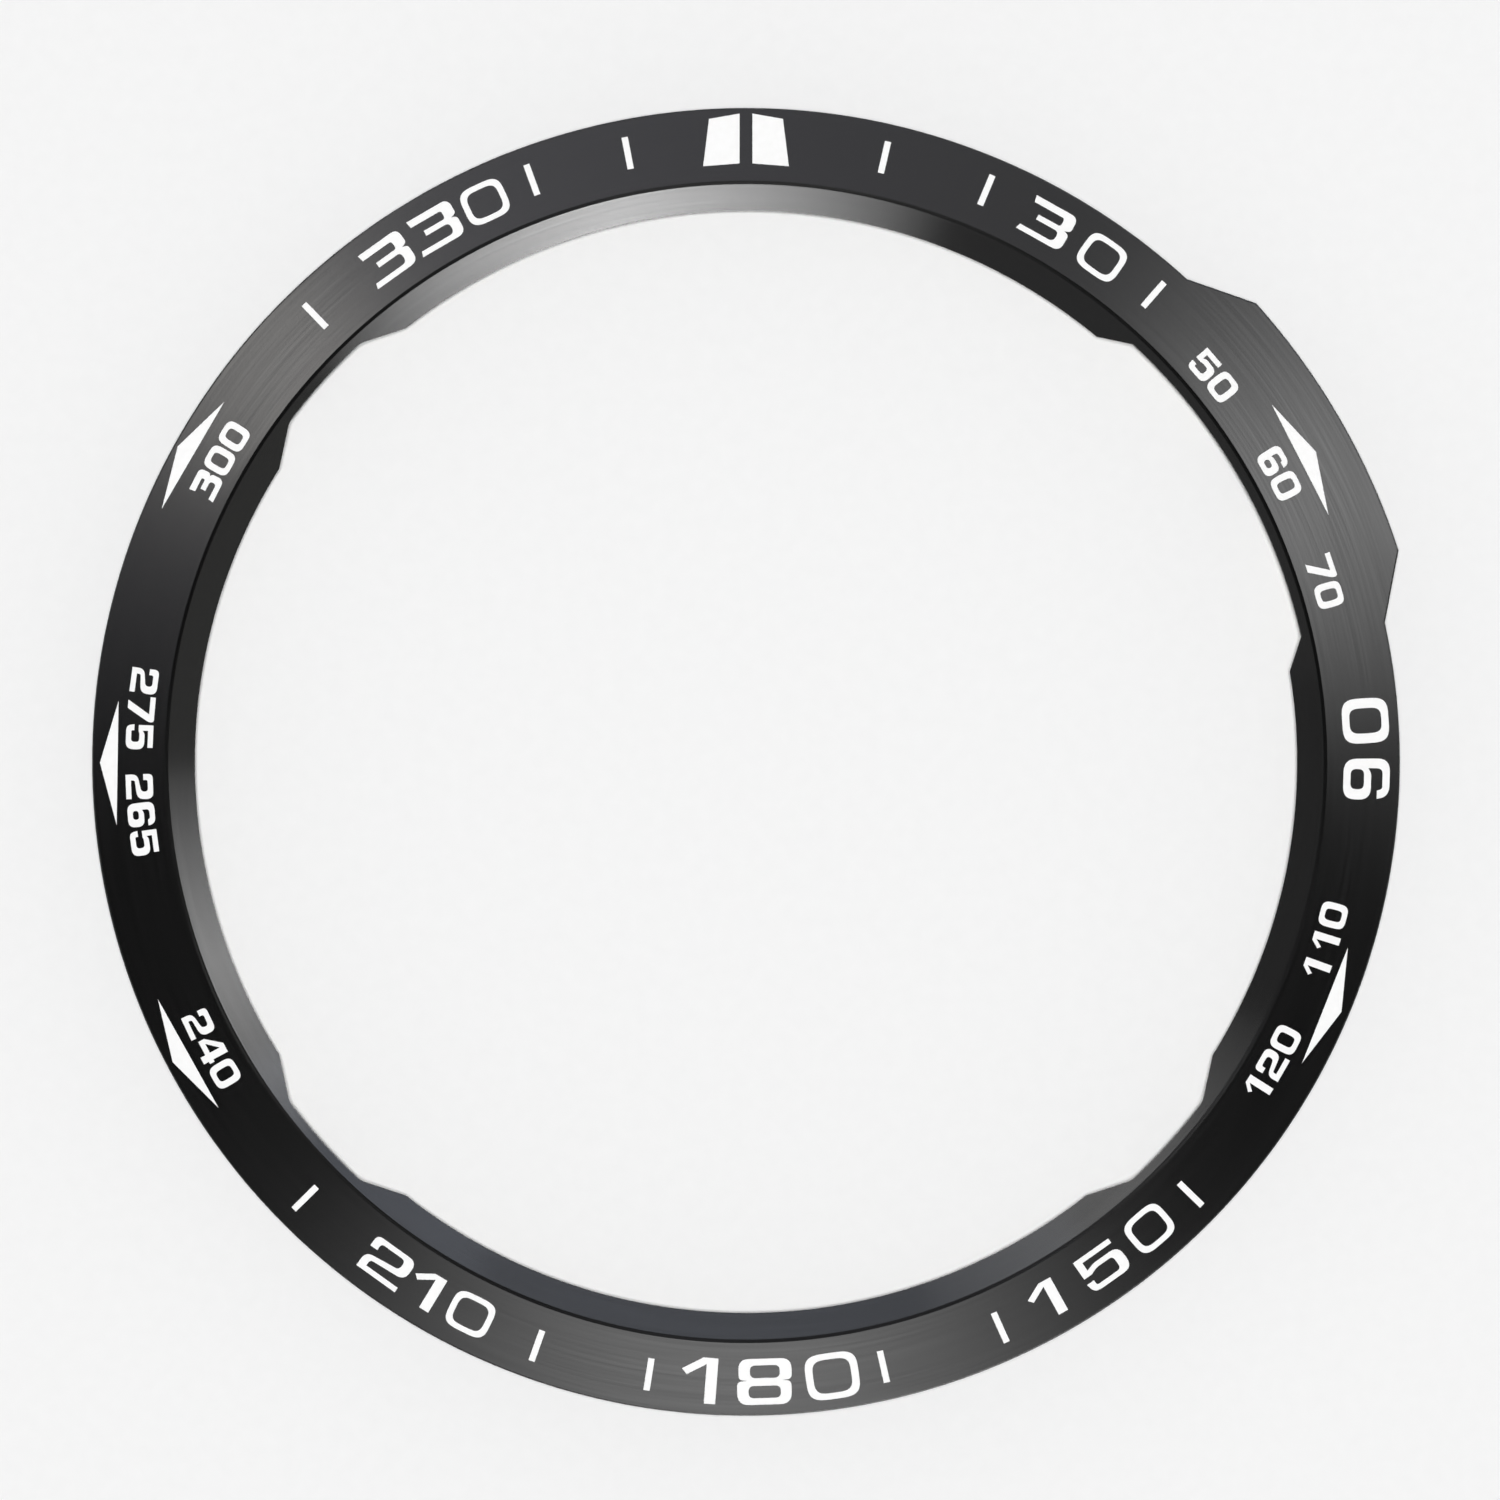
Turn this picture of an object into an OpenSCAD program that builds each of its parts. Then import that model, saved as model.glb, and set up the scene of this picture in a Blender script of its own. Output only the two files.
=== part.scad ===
// Stick-on bezel ring for a 47 mm wrist instrument.
// A turned steel ring with a conical top, a button guard and a notched inner skirt,
// with paint in its engraved marks and arcs of double-sided tape on the seat inside it.
// Z = 0 is the lower rim, +Z is up and 12 o'clock is +Y.
// A bearing is an angle in degrees, clockwise from 12 o'clock as seen from above.

/* [Ring] */
// Diameter across the round outer wall
outer_d = 47; // [42:0.5:54]
// Height from the lower rim to the top of the crest
ring_h = 2.3; // [2.1:0.05:3]
// Width of the top face in plan, from the outer wall in to the crest
face_w = 2.69; // [2.5:0.01:3.4]
// Fall of the top face from the crest outwards, in degrees
face_slope = 8; // [4:0.5:10]
// Least thickness of the top, over the end of the guard's recess
top_t = 0.3; // [0.22:0.01:0.45]
// Thickness of the outer wall
wall_t = 0.5; // [0.35:0.05:0.7]
// Width and height of the ledge between the outer wall and the seat
ledge = 0.3; // [0.15:0.05:0.45]
// Width of the broken outer edges
edge_break = 0.05; // [0.03:0.01:0.15]
// Width and height of the lead-in at the mouth of the recess
mouth_lead = 0.1; // [0.05:0.01:0.2]
// Width in plan of the narrow flat that breaks the crest
crest_break = 0.13; // [0.08:0.01:0.3]

/* [Skirt] */
// Width of the skirt in plan, from the crest in to the clear opening
skirt_w = 0.99; // [0.85:0.01:1.3]
// Height of the skirt, from the crest down to its tip
skirt_h = 0.93; // [0.85:0.01:1.15]
// Thickness of the skirt, square to its face
skirt_t = 0.35; // [0.25:0.01:0.45]
// Height of the upright land at the skirt's tip
tip_land = 0.08; // [0.04:0.01:0.12]
// Bearings of the short notches
notch_bearings = [132, 228, 312];
// Depth of every notch, outwards from the clear opening
notch_depth = 0.64; // [0.4:0.01:0.75]
// Width of a short notch at the skirt's tip
notch_mouth_w = 6.8; // [5.5:0.1:8]
// Width of a short notch at its root
notch_root_w = 3.8; // [3:0.1:4.6]
// Radius of the corners at a short notch's root
notch_fillet = 1; // [0.3:0.1:1.4]

/* [Button guard] */
// Bearing of the middle of the guard, and of the long notch across from it in the skirt
guard_bearing = 60.05; // [50:0.05:70]
// Reach of the guard beyond the round outer wall
guard_out = 1.16; // [0.8:0.01:1.5]
// Width of the guard where it leaves the round wall
guard_base_w = 14.25; // [13:0.05:16]
// Width of the guard along its outer end
guard_top_w = 10.25; // [8.5:0.05:11.5]
// Width of the long notch at the skirt's tip
long_mouth_w = 13.9; // [13:0.1:15]
// Width of the long notch at its root
long_root_w = 12.1; // [11:0.1:12.8]
// Radius of the corners at the long notch's root
long_fillet = 0.1; // [0.05:0.01:0.4]

/* [Marks] */
// Depth of the engraved pockets below the top face
pocket_depth = 0.1; // [0.06:0.01:0.15]
// Distance of the paint's surface below the top face
paint_gap = 0.015; // [0.005:0.001:0.03]
// Bearings of the ticks
tick_bearings = [12.9, 22.8, 41.1, 134.2, 155.8, 167.2, 189, 199.7, 225.3, 316, 339.8, 349];
// Width of a tick
tick_w = 0.23; // [0.15:0.01:0.35]
// Length of a tick
tick_l = 1.17; // [0.8:0.01:1.5]
// Distance from the round outer wall in to a tick's outer end
tick_margin = 0.63; // [0.4:0.01:0.75]
// Bearings of the button pointers
pointer_bearings = [61.4, 112.8, 242.4, 269.9, 299];
// Distance from the round outer wall in to each pointer's base
pointer_margins = [0.82, 0.93, 0.88, 0.92, 0.78];
// Lean of each pointer, clockwise about the middle of its base
pointer_leans = [1.4, -1.2, -1.6, 1, 1.3];
// Length of a pointer's base
pointer_l = 4.47; // [3:0.01:5]
// Height of a pointer, from its base out to its apex
pointer_h = 0.64; // [0.4:0.01:0.66]
// Gap between the two halves of the 12 o'clock index
index_gap = 0.46; // [0.3:0.01:0.7]
// Width over both halves of the index at their outer ends
index_top_w = 2.66; // [2.2:0.02:3]
// Width over both halves of the index at their inner ends
index_foot_w = 3.08; // [2.6:0.02:3.6]
// Length of the index beside its gap
index_l = 1.8; // [1.4:0.05:1.9]
// Distance from the round outer wall in to the index
index_margin = 0.2; // [0.16:0.01:0.4]
// Fall of the index's outer edge from the gap to its corners
index_top_fall = 0.19; // [0:0.01:0.3]
// Fall of the index's inner edge from the gap to its corners
index_foot_fall = 0.1; // [0:0.01:0.2]

/* [Tape] */
// Thickness of the double-sided tape
tape_t = 0.15; // [0.1:0.01:0.2]
// Clearance from the tape to the skirt's foot and to the ledge
tape_gap = 0.25; // [0.1:0.01:0.4]
// Gap between two arcs of tape, in degrees
tape_break = 8; // [3:0.5:14]

/* [Hidden] */
$fn = 180;
outer_r = outer_d / 2;
crest_r = outer_r - face_w;
opening_r = crest_r - skirt_w;
guard_r = outer_r + guard_out;
root_r = opening_r + notch_depth;
skirt_slope = atan((skirt_h - tip_land) / skirt_w);
// How far the crest's flat cuts into the skirt's face and the top face, along each of them
crest_cut = crest_break / (cos(skirt_slope) + cos(face_slope));
// Height at which the skirt's face and the top face would meet without the flat
crest_z = ring_h + crest_cut * sin(face_slope);
tip_z = crest_z - skirt_h;
seat_z = face_z(guard_r - wall_t) - top_t;
tip_out_r = opening_r - tip_land / tan(skirt_slope) + skirt_t / sin(skirt_slope);
foot_r = tip_out_r + (seat_z - tip_z) / tan(skirt_slope);
tape_in_r = foot_r + tape_gap;
tape_out_r = outer_r - wall_t - ledge - tape_gap;
tape_ends = concat([guard_bearing], notch_bearings, [guard_bearing + 360]);
overrun = 1;
// Corners of the guard's right flank in plan, about +Y
flank_base = [guard_base_w / 2, sqrt(pow(outer_r, 2) - pow(guard_base_w / 2, 2))];
flank_top = [guard_top_w / 2, sqrt(pow(guard_r, 2) - pow(guard_top_w / 2, 2))];
flank_run = norm(flank_top - flank_base);
flank_fall = atan((face_z(outer_r) - face_z(guard_r)) / flank_run);

TICK_NODES = [for (i = [1 : len(tick_bearings)]) str("tick_", i < 10 ? "0" : "", i)];
POINTER_NODES = ["pointer_2_oclock", "pointer_4_oclock", "pointer_8_oclock",
                 "pointer_9_oclock", "pointer_10_oclock"];
TAPE_NODES = ["tape_right", "tape_bottom", "tape_left", "tape_top"];

// Height of the top face at a radius
function face_z(r) = crest_z - (r - crest_r) * tan(face_slope);

// The sharp corner outside a fillet, whose circle touches both sides in the given directions
module sharp_corner(centre, r, first, second) {
    middle = (first + second) / norm(first + second);
    difference() {
        polygon([centre, centre + 2 * r * first, centre + 3 * r * middle, centre + 2 * r * second]);
        translate(centre) circle(r = r);
    }
}

// Turns a plan drawn about +Y round to a bearing
module at_bearing(bearing) {
    rotate(-bearing) children();
}

// The guard's plan about +Y: two straight flanks, carried inwards under the round wall
module guard_wedge(inset = 0) {
    lean = (flank_base.x - flank_top.x) / (flank_top.y - flank_base.y);
    shift = inset * sqrt(1 + pow(lean, 2));
    low_y = flank_base.y - wall_t;
    high_y = guard_r + overrun;
    low_x = flank_base.x + (flank_base.y - low_y) * lean - shift;
    high_x = flank_base.x + (flank_base.y - high_y) * lean - shift;
    polygon([[-low_x, low_y], [low_x, low_y], [high_x, high_y], [-high_x, high_y]]);
}

// The ring's outline seen from above, moved inwards by an inset
module outline(inset = 0) {
    circle(r = outer_r - inset);
    intersection() {
        circle(r = guard_r - inset);
        at_bearing(guard_bearing) guard_wedge(inset);
    }
}

// Section of the blank: the skirt's face, the flat on the crest and the conical top
module blank_section() {
    far_r = guard_r + overrun;
    polygon([[opening_r, 0], [opening_r, tip_z + tip_land],
             [crest_r - crest_cut * cos(skirt_slope), crest_z - crest_cut * sin(skirt_slope)],
             [crest_r + crest_cut * cos(face_slope), ring_h],
             [far_r, face_z(far_r)], [far_r, 0]]);
}

// Section of what the skirt leaves free inside the ring, from below the rim up to the seat
module recess_section() {
    in_r = opening_r - overrun;
    far_r = guard_r + overrun;
    polygon([[in_r, -overrun], [far_r, -overrun], [far_r, seat_z], [foot_r, seat_z],
             [tip_out_r, tip_z], [in_r, tip_z]]);
}

// The recess: the outline less the wall, with a ledge in its upper corner
module recess() {
    intersection() {
        union() {
            translate([0, 0, -overrun])
                linear_extrude(overrun + seat_z - ledge) outline(wall_t);
            translate([0, 0, -overrun])
                linear_extrude(overrun + seat_z) outline(wall_t + ledge);
        }
        rotate_extrude() recess_section();
    }
}

// Cuts the upper and the lower edge of a round wall at 45 degrees
module round_breaks(r) {
    top_z = face_z(r - edge_break);
    rotate_extrude() {
        polygon([[r - edge_break, top_z], [r + overrun, top_z - edge_break - overrun],
                 [r + overrun, top_z + overrun], [r - edge_break, top_z + overrun]]);
        polygon([[r - edge_break, 0], [r - edge_break, -overrun], [r + overrun, -overrun],
                 [r + overrun, edge_break + overrun]]);
    }
}

// Column over the guard's plan, from below the rim to above the crest
module guard_column() {
    translate([0, 0, -2 * overrun]) linear_extrude(ring_h + 4 * overrun)
        at_bearing(guard_bearing) guard_wedge();
}

// Draws along one flank of the guard, from its base outwards; side is 1 clockwise and -1 against
module along_flank(side) {
    at_bearing(guard_bearing)
        translate([side * flank_base.x, flank_base.y, 0])
            rotate(atan2(flank_top.y - flank_base.y, side * (flank_top.x - flank_base.x)))
                children();
}

// Cuts the upper edge of one flank, which falls with the top face
module upper_flank_break(side) {
    along_flank(side) translate([0, 0, face_z(outer_r) - edge_break])
        rotate([0, flank_fall, 0]) rotate([side * 45, 0, 0])
            translate([0, -overrun / 2, 0]) cube([flank_run + overrun, overrun, overrun]);
}

// Cuts the lower edge of one flank
module lower_flank_break(side) {
    along_flank(side) translate([0, 0, edge_break]) rotate([-side * 45, 0, 0])
        translate([0, -overrun / 2, -overrun]) cube([flank_run + overrun, overrun, overrun]);
}

// The ring with its guard, turned and not yet broken along its edges
module turned_blank() {
    intersection() {
        rotate_extrude() blank_section();
        translate([0, 0, -overrun]) linear_extrude(ring_h + 2 * overrun) outline();
    }
}

// The blank with every outer edge broken; each cut is its own, since the cuts meet at the corners
module blank() {
    difference() {
        difference() {
            difference() {
                difference() {
                    turned_blank();
                    difference() {
                        round_breaks(outer_r);
                        guard_column();
                    }
                    round_breaks(guard_r);
                }
                upper_flank_break(1);
            }
            upper_flank_break(-1);
        }
        for (side = [-1, 1]) lower_flank_break(side);
    }
}

// Lead-in at the mouth of the recess, by which the ring finds its place
module lead_in() {
    mouth_r = outer_r - wall_t;
    translate([0, 0, -overrun])
        cylinder(h = overrun + mouth_lead, r1 = mouth_r + mouth_lead + overrun, r2 = mouth_r);
}

// Plan of a notch about +Y: slanting flanks, a round root and rounded root corners
module notch_plan(mouth_w, root_w, fillet) {
    mouth = [mouth_w / 2, sqrt(pow(opening_r, 2) - pow(mouth_w / 2, 2))];
    corner = [root_w / 2, sqrt(pow(root_r, 2) - pow(root_w / 2, 2))];
    along = (corner - mouth) / norm(corner - mouth);
    inwards = [-along.y, along.x];
    // The fillet's centre is one radius from the flank and from the root
    start = mouth + fillet * inwards;
    reach = start * along;
    centre = start + along * (-reach + sqrt(pow(reach, 2) - start * start + pow(root_r - fillet, 2)));
    near = mouth - overrun * along;
    far = corner + overrun * along;
    difference() {
        intersection() {
            circle(r = root_r);
            polygon([near, far, [-far.x, far.y], [-near.x, near.y]]);
        }
        for (flip = [0, 1])
            mirror([flip, 0]) sharp_corner(centre, fillet, -inwards, centre / norm(centre));
    }
}

module notches() {
    translate([0, 0, -overrun]) linear_extrude(ring_h + 2 * overrun) {
        for (bearing = notch_bearings)
            at_bearing(bearing) notch_plan(notch_mouth_w, notch_root_w, notch_fillet);
        at_bearing(guard_bearing) notch_plan(long_mouth_w, long_root_w, long_fillet);
    }
}

// Keeps what of a plan's column lies between two depths under the top face, which it follows
module in_face(top, bottom) {
    near_r = crest_r - overrun;
    far_r = guard_r + overrun;
    intersection() {
        linear_extrude(ring_h + overrun) children();
        rotate_extrude()
            polygon([[near_r, face_z(near_r) - bottom], [far_r, face_z(far_r) - bottom],
                     [far_r, face_z(far_r) - top], [near_r, face_z(near_r) - top]]);
    }
}

module tick_plan(i) {
    at_bearing(tick_bearings[i])
        translate([-tick_w / 2, outer_r - tick_margin - tick_l]) square([tick_w, tick_l]);
}

module pointer_plan(i) {
    at_bearing(pointer_bearings[i])
        translate([0, outer_r - pointer_margins[i]]) rotate(-pointer_leans[i])
            polygon([[-pointer_l / 2, 0], [pointer_l / 2, 0], [0, pointer_h]]);
}

// One half of the 12 o'clock index; side is 1 on the right and -1 on the left
module index_plan(side) {
    top_y = outer_r - index_margin;
    foot_y = top_y - index_l;
    polygon([[side * index_gap / 2, foot_y], [side * index_foot_w / 2, foot_y - index_foot_fall],
             [side * index_top_w / 2, top_y - index_top_fall], [side * index_gap / 2, top_y]]);
}

module all_marks() {
    for (i = [0 : len(tick_bearings) - 1]) tick_plan(i);
    for (i = [0 : len(pointer_bearings) - 1]) pointer_plan(i);
    for (side = [-1, 1]) index_plan(side);
}

// The steel ring itself
module bezel_ring() {
    color("#2a2a2c") difference() {
        blank();
        recess();
        lead_in();
        notches();
        in_face(-overrun, pocket_depth) all_marks();
    }
}

// Paint that fills the pocket of one mark
module paint() {
    color("white") in_face(paint_gap, pocket_depth) children();
}

module tick(i) {
    paint() tick_plan(i);
}

module pointer(i) {
    paint() pointer_plan(i);
}

module index_half(side) {
    paint() index_plan(side);
}

// One arc of tape on the seat, from one notch to the next
module tape(i) {
    from = tape_ends[i] + tape_break / 2;
    to = tape_ends[i + 1] - tape_break / 2;
    color("#dcd8c6") at_bearing(to - 90)
        rotate_extrude(angle = to - from)
            translate([tape_in_r, seat_z - tape_t]) square([tape_out_r - tape_in_r, tape_t]);
}

bezel_ring();
index_half(-1);  // index_left
index_half(1);  // index_right
for (i = [0 : len(POINTER_NODES) - 1]) pointer(i);
for (i = [0 : len(TICK_NODES) - 1]) tick(i);
for (i = [0 : len(TAPE_NODES) - 1]) tape(i);
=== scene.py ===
# %% [markdown]
# A stick-on bezel ring for a sports watch, seen straight from above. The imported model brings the
# ring, the paint in its plain marks and the tape under it, each at its real size and place. This
# script adds what the solids leave out: engraved figures, finishes, floor, light and camera.
# Blender counts in metres here, and a ring is drawn in millimetres, so MM turns one into the other.

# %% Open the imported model
import math

import bmesh
import bpy
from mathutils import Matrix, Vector
from mathutils.geometry import tessellate_polygon


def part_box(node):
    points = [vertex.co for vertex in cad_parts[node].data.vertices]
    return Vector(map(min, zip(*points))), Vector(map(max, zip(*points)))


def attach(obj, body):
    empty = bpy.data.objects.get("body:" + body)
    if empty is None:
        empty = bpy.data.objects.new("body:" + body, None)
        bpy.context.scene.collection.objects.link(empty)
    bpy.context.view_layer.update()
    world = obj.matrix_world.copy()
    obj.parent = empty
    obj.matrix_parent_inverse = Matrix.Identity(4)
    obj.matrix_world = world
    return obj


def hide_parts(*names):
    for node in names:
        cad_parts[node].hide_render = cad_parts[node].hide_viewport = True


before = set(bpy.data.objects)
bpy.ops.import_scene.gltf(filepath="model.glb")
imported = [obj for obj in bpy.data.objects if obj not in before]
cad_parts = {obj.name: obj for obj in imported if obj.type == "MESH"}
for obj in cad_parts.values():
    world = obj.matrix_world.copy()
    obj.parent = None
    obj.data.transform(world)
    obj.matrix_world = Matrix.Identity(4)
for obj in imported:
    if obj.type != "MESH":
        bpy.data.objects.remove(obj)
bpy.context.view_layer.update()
scene = bpy.context.scene
MM = 0.001
print("solids in the packed model:", len(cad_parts))

# %% [markdown]
# The camera comes first, because it decides how fine everything else has to be. The ring was
# photographed straight down its axis with almost no perspective, so a long lens stands far above
# it. A camera without any perspective would come close, but a real lens leaves a trace of it on the
# ring's inner faces. The ring lies a little left of the picture's middle and a little below it. Its
# outline in the picture is the upper edge of its wall, so the lens is worked out for that height.

# %% Camera
IMAGE_PX = 1500
RING_CENTRE_PX = (746, 761.85)
RING_OUTER_PX = 653.8
OUTER_R = 23.5
RIM_HEIGHT = 1.85
CAMERA_HEIGHT = 800
SENSOR_MM = 36

mm_per_px = OUTER_R / RING_OUTER_PX
field_mm = IMAGE_PX * mm_per_px
camera_data = bpy.data.cameras.new("camera")
camera_data.sensor_width = SENSOR_MM
camera_data.lens = SENSOR_MM * (CAMERA_HEIGHT - RIM_HEIGHT) / field_mm
camera = bpy.data.objects.new("camera", camera_data)
camera.location = (
    (IMAGE_PX / 2 - RING_CENTRE_PX[0]) * mm_per_px * MM,
    (RING_CENTRE_PX[1] - IMAGE_PX / 2) * mm_per_px * MM,
    CAMERA_HEIGHT * MM,
)
scene.collection.objects.link(camera)
scene.camera = camera
scene.view_settings.view_transform = "Standard"
print(f"the picture is {field_mm:.2f} mm wide, and the lens {camera_data.lens:.0f} mm long")

# %% [markdown]
# Every finish is a small graph of nodes. Three helpers keep the cells below short: one turns a
# colour as a painter would write it into the linear numbers that light needs, one adds a node
# with its settings and links, and one starts an empty material.


# %% Helpers for finishes
def linear(hex_colour):
    """An sRGB hex colour as linear red, green, blue and alpha."""
    parts = [int(hex_colour[i : i + 2], 16) / 255 for i in (1, 3, 5)]
    return [p / 12.92 if p <= 0.04045 else ((p + 0.055) / 1.055) ** 2.4 for p in parts] + [1.0]


def add_node(tree, kind, inputs=None, **settings):
    """Adds a node, applies its settings, and fills or links its inputs by name or number."""
    node = tree.nodes.new(kind)
    for name, value in settings.items():
        setattr(node, name, value)
    for name, value in (inputs or {}).items():
        if isinstance(value, bpy.types.NodeSocket):
            tree.links.new(value, node.inputs[name])
        else:
            node.inputs[name].default_value = value
    return node


def new_material(name):
    """An empty material, its node tree and its output node."""
    material = bpy.data.materials.new(name)
    material.use_nodes = True
    tree = material.node_tree
    tree.nodes.clear()
    return material, tree, add_node(tree, "ShaderNodeOutputMaterial")


print(f"a middle grey, #808080, is {linear('#808080')[0]:.3f} in linear light")


# %% [markdown]
# The ring is stainless steel, brushed while it turned and then coated black by vapour deposition.
# The coating is metallic and only a few thousandths of a millimetre thick, so the brush lines stay
# and follow the ring round. To the eye that gives a dark grey metal whose highlights stretch out
# across the lines. A picture of brushed metal would have to be bent round the ring. A noise needs
# no bending, if its coordinates are the direction from the axis, which changes slowly on the way
# round, and the distance from the axis, which changes fast on the way across.

# %% Places on the ring for the brush
BRUSH_LINE_MM = 0.06  # real lines are nearer 0.02 mm and wouldn't show
BRUSH_LENGTH_MM = 7

steel, tree, output = new_material("black coated brushed stainless steel")
place = add_node(tree, "ShaderNodeTexCoord").outputs["Object"]
place_mm = add_node(tree, "ShaderNodeVectorMath", {0: place, 3: 1 / MM}, operation="SCALE")
split = add_node(tree, "ShaderNodeSeparateXYZ", {0: place_mm.outputs[0]})
flat = add_node(tree, "ShaderNodeCombineXYZ", {0: split.outputs[0], 1: split.outputs[1]})
radius = add_node(tree, "ShaderNodeVectorMath", {0: flat.outputs[0]}, operation="LENGTH")
heading = add_node(tree, "ShaderNodeVectorMath", {0: flat.outputs[0]}, operation="NORMALIZE")
round_ring = add_node(
    tree,
    "ShaderNodeVectorMath",
    {0: heading.outputs[0], 3: OUTER_R / BRUSH_LENGTH_MM},
    operation="SCALE",
)
across = add_node(
    tree, "ShaderNodeMath", {0: radius.outputs["Value"], 1: split.outputs[2]}, operation="ADD"
)
lines = add_node(
    tree, "ShaderNodeMath", {0: across.outputs[0], 1: 1 / BRUSH_LINE_MM}, operation="MULTIPLY"
)
lift = add_node(tree, "ShaderNodeCombineXYZ", {2: lines.outputs[0]})
brush_place = add_node(
    tree, "ShaderNodeVectorMath", {0: round_ring.outputs[0], 1: lift.outputs[0]}, operation="ADD"
)
print(f"brush lines are {BRUSH_LINE_MM} mm apart and about {BRUSH_LENGTH_MM} mm long")

# %% [markdown]
# The same noise gives the lines three things that a brush leaves: a trace of light and dark, grooves
# less than a thousandth of a millimetre deep, and a polish that varies from line to line. The top
# and the skirt were brushed in two passes, so each has its own roughness, with the change hidden at
# the crest. A real brushed face scatters light across its lines and hardly along them, which is what
# anisotropy stands for. It needs to know which way the lines run, and the tangent says so.

# %% Brushed and coated steel
BRUSH_DEPTH_MM = 0.0008
FACE_W = 2.69
CREST_R = OUTER_R - FACE_W
CREST_BLEND_MM = 0.1
TOP_ROUGHNESS = 0.2
SKIRT_ROUGHNESS = 0.19
ROUGHNESS_SWING = 0.03

brush = add_node(
    tree,
    "ShaderNodeTexNoise",
    {"Vector": brush_place.outputs[0], "Scale": 1, "Detail": 3, "Roughness": 0.6},
)
top_share = add_node(
    tree,
    "ShaderNodeMapRange",
    {"Value": radius.outputs["Value"], "From Min": CREST_R - CREST_BLEND_MM, "From Max": CREST_R},
)
roughness_here = add_node(
    tree,
    "ShaderNodeMapRange",
    {"Value": top_share.outputs[0], "To Min": SKIRT_ROUGHNESS, "To Max": TOP_ROUGHNESS},
)
# Nearly all of a noise's values lie between 0.3 and 0.7
roughness_swing = add_node(
    tree,
    "ShaderNodeMapRange",
    {
        "Value": brush.outputs[0],
        "From Min": 0.3,
        "From Max": 0.7,
        "To Min": -ROUGHNESS_SWING,
        "To Max": ROUGHNESS_SWING,
    },
)
roughness = add_node(
    tree,
    "ShaderNodeMath",
    {0: roughness_here.outputs[0], 1: roughness_swing.outputs[0]},
    operation="ADD",
)
tint = add_node(
    tree,
    "ShaderNodeMix",
    {0: brush.outputs[0], 6: linear("#393939"), 7: linear("#414141")},
    data_type="RGBA",
)
bump = add_node(
    tree,
    "ShaderNodeBump",
    {"Height": brush.outputs[0], "Distance": BRUSH_DEPTH_MM * MM, "Strength": 1.0},
)
tangent = add_node(tree, "ShaderNodeTangent", direction_type="RADIAL", axis="Z")
shader = add_node(
    tree,
    "ShaderNodeBsdfPrincipled",
    {
        "Metallic": 1.0,
        "Anisotropic": 0.7,
        # The tangent runs round the ring, and a quarter turn lays the highlight across the lines
        "Anisotropic Rotation": 0.25,
        "Base Color": tint.outputs[2],
        "Roughness": roughness.outputs[0],
        "Normal": bump.outputs[0],
        "Tangent": tangent.outputs[0],
    },
)
tree.links.new(shader.outputs[0], output.inputs[0])
print("made", steel.name)


# %% [markdown]
# The marks are filled with white enamel: a thick paint that is wiped into the engraving, levels
# itself and dries to a smooth skin with a soft shine. A glowing white would look right from above
# and wrong in any other light, so this is paint that only reflects. It is almost pure white, and its
# detail is a faint waviness of the skin and a trace of grey where the wipe left it thinner.

# %% Enamel
ENAMEL_GRAIN_MM = 0.25
ENAMEL_WAVE_MM = 0.002

enamel, tree, output = new_material("white enamel")
place = add_node(tree, "ShaderNodeTexCoord").outputs["Object"]
grain = add_node(
    tree,
    "ShaderNodeTexNoise",
    {"Vector": place, "Scale": 1 / (ENAMEL_GRAIN_MM * MM), "Detail": 2},
)
tint = add_node(
    tree,
    "ShaderNodeMix",
    {0: grain.outputs[0], 6: linear("#F4F4F3"), 7: linear("#FDFDFD")},
    data_type="RGBA",
)
bump = add_node(
    tree,
    "ShaderNodeBump",
    {"Height": grain.outputs[0], "Distance": ENAMEL_WAVE_MM * MM, "Strength": 1.0},
)
shader = add_node(
    tree,
    "ShaderNodeBsdfPrincipled",
    {
        "IOR": 1.5,
        "Roughness": 0.35,
        "Base Color": tint.outputs[2],
        "Normal": bump.outputs[0],
    },
)
tree.links.new(shader.outputs[0], output.inputs[0])
print("made", enamel.name)

# %% [markdown]
# The tape is thin acrylic foam with glue on both faces. The foam is off-white and full of tiny
# cells, which show as a fine mottle, and the glue gives it a slight shine. Noise would give clouds,
# and cells that crowd each other need a Voronoi pattern. The tape shows mostly from below.

# %% Foam tape
FOAM_CELL_MM = 0.12
FOAM_CELL_DEPTH_MM = 0.01

foam, tree, output = new_material("acrylic foam tape")
place = add_node(tree, "ShaderNodeTexCoord").outputs["Object"]
cells = add_node(
    tree,
    "ShaderNodeTexVoronoi",
    {"Vector": place, "Scale": 1 / (FOAM_CELL_MM * MM)},
)
tint = add_node(
    tree,
    "ShaderNodeMix",
    {0: cells.outputs["Distance"], 6: linear("#E9E5D6"), 7: linear("#CFC9B4")},
    data_type="RGBA",
)
bump = add_node(
    tree,
    "ShaderNodeBump",
    {"Height": cells.outputs["Distance"], "Distance": FOAM_CELL_DEPTH_MM * MM, "Strength": 0.6},
)
shader = add_node(
    tree,
    "ShaderNodeBsdfPrincipled",
    {
        "IOR": 1.48,
        "Roughness": 0.4,
        "Base Color": tint.outputs[2],
        "Normal": bump.outputs[0],
    },
)
tree.links.new(shader.outputs[0], output.inputs[0])
print("made", foam.name)

# %% [markdown]
# The ring is one turned piece, so its natural model is a section carried round the axis. The
# section isn't the same all the way round: a guard stands out over one button, and notches are cut
# into the skirt inside. Cutting these out of a plain ring with booleans would leave long thin faces
# that shade badly on brushed metal. So two functions give the outer and the inner radius at each
# bearing, and the section is drawn between them, which keeps every face a small even quad. Bearings
# are in degrees, clockwise from 12 o'clock.

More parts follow.
